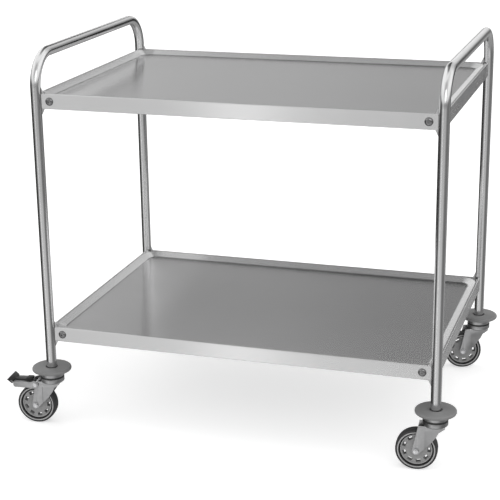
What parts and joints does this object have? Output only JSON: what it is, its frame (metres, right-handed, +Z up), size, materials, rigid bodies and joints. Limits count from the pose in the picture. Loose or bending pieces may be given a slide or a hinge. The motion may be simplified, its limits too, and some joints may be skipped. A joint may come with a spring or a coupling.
{
  "type": "serving trolley",
  "caption": "Stainless two-shelf serving trolley: tubular end hoops with push handles, dished trays, bumper discs and braked swivel castors.",
  "frame": {"origin": "on the floor, at the middle of the whole trolley's footprint, pedals included", "axes": "+X along the length towards the end without brakes, +Y across the width towards the rear, +Z up"},
  "size_m": [1.1402, 0.763, 0.95],
  "materials": {
    "tube_steel": "satin polished stainless tube",
    "tray_steel": "fine brushed stainless sheet",
    "plate_steel": "mill finish stainless plate",
    "screw_steel": "bright stainless fastener",
    "zinc_steel": "bright zinc plate",
    "castor_steel": "bright zinc plated pressing",
    "lever_steel": "zinc plated pressing",
    "ball_steel": "polished bearing steel",
    "buffer_plastic": "grey moulded bumper",
    "insert_plastic": "black moulded plug",
    "seal_plastic": "black dust seal",
    "wheel_plastic": "grey moulded wheel centre",
    "tyre_rubber": "dark grey solid rubber",
    "pad_plastic": "black moulded pedal pad"
  },
  "bodies": {
    "trolley": {"left_hoop": "tube_steel", "right_hoop": "tube_steel", "left_hoop_lugs": "plate_steel", "right_hoop_lugs": "plate_steel", "upper_tray": "tray_steel", "lower_tray": "tray_steel", "upper_tray_stiffeners": "plate_steel", "lower_tray_stiffeners": "plate_steel", "shelf_screws": "screw_steel", "shelf_nuts": "screw_steel", "tube_inserts": "insert_plastic", "stem_bolts": "zinc_steel", "swivel_balls": "ball_steel", "left_front_buffer": "buffer_plastic", "left_front_castor_cap": "castor_steel", "right_front_buffer": "buffer_plastic", "right_front_castor_cap": "castor_steel", "left_rear_buffer": "buffer_plastic", "left_rear_castor_cap": "castor_steel", "right_rear_buffer": "buffer_plastic", "right_rear_castor_cap": "castor_steel"},
    "left_front_castor": {"left_front_fork": "castor_steel", "left_front_dust_seal": "seal_plastic", "left_front_axle_bolt": "zinc_steel", "left_front_axle_nut": "zinc_steel", "left_front_axle_sleeve": "zinc_steel", "left_front_pedal_pin": "zinc_steel"},
    "left_front_wheel": {"left_front_wheel_centre": "wheel_plastic", "left_front_tyre": "tyre_rubber"},
    "left_front_pedal": {"left_front_pedal_lever": "lever_steel", "left_front_pedal_pad": "pad_plastic"},
    "right_front_castor": {"right_front_fork": "castor_steel", "right_front_dust_seal": "seal_plastic", "right_front_axle_bolt": "zinc_steel", "right_front_axle_nut": "zinc_steel", "right_front_axle_sleeve": "zinc_steel"},
    "right_front_wheel": {"right_front_wheel_centre": "wheel_plastic", "right_front_tyre": "tyre_rubber"},
    "left_rear_castor": {"left_rear_fork": "castor_steel", "left_rear_dust_seal": "seal_plastic", "left_rear_axle_bolt": "zinc_steel", "left_rear_axle_nut": "zinc_steel", "left_rear_axle_sleeve": "zinc_steel", "left_rear_pedal_pin": "zinc_steel"},
    "left_rear_wheel": {"left_rear_wheel_centre": "wheel_plastic", "left_rear_tyre": "tyre_rubber"},
    "left_rear_pedal": {"left_rear_pedal_lever": "lever_steel", "left_rear_pedal_pad": "pad_plastic"},
    "right_rear_castor": {"right_rear_fork": "castor_steel", "right_rear_dust_seal": "seal_plastic", "right_rear_axle_bolt": "zinc_steel", "right_rear_axle_nut": "zinc_steel", "right_rear_axle_sleeve": "zinc_steel"},
    "right_rear_wheel": {"right_rear_wheel_centre": "wheel_plastic", "right_rear_tyre": "tyre_rubber"}
  },
  "joints": [
    {"name": "left_front_swivel", "type": "hinge", "parent": "trolley", "child": "left_front_castor", "pos_m": [-0.455, -0.3325, 0.115], "axis": [0, 0, 1], "continuous": true},
    {"name": "left_front_wheel_spin", "type": "hinge", "parent": "left_front_castor", "child": "left_front_wheel", "pos_m": [-0.49684, -0.33616, 0.05], "axis": [-0.0872, 0.9962, 0], "continuous": true},
    {"name": "left_front_brake", "type": "hinge", "parent": "left_front_castor", "child": "left_front_pedal", "pos_m": [-0.49485, -0.33599, 0.107], "axis": [0.0872, -0.9962, 0], "range_deg": [0, 10]},
    {"name": "right_front_swivel", "type": "hinge", "parent": "trolley", "child": "right_front_castor", "pos_m": [0.52, -0.3325, 0.115], "axis": [0, 0, 1], "continuous": true},
    {"name": "right_front_wheel_spin", "type": "hinge", "parent": "right_front_castor", "child": "right_front_wheel", "pos_m": [0.47816, -0.33616, 0.05], "axis": [-0.0872, 0.9962, 0], "continuous": true},
    {"name": "left_rear_swivel", "type": "hinge", "parent": "trolley", "child": "left_rear_castor", "pos_m": [-0.455, 0.3325, 0.115], "axis": [0, 0, 1], "continuous": true},
    {"name": "left_rear_wheel_spin", "type": "hinge", "parent": "left_rear_castor", "child": "left_rear_wheel", "pos_m": [-0.49636, 0.32521, 0.05], "axis": [-0.1736, 0.9848, 0], "continuous": true},
    {"name": "left_rear_brake", "type": "hinge", "parent": "left_rear_castor", "child": "left_rear_pedal", "pos_m": [-0.49439, 0.32555, 0.107], "axis": [0.1736, -0.9848, 0], "range_deg": [0, 10]},
    {"name": "right_rear_swivel", "type": "hinge", "parent": "trolley", "child": "right_rear_castor", "pos_m": [0.52, 0.3325, 0.115], "axis": [0, 0, 1], "continuous": true},
    {"name": "right_rear_wheel_spin", "type": "hinge", "parent": "right_rear_castor", "child": "right_rear_wheel", "pos_m": [0.48006, 0.31952, 0.05], "axis": [-0.309, 0.9511, 0], "continuous": true}
  ]
}
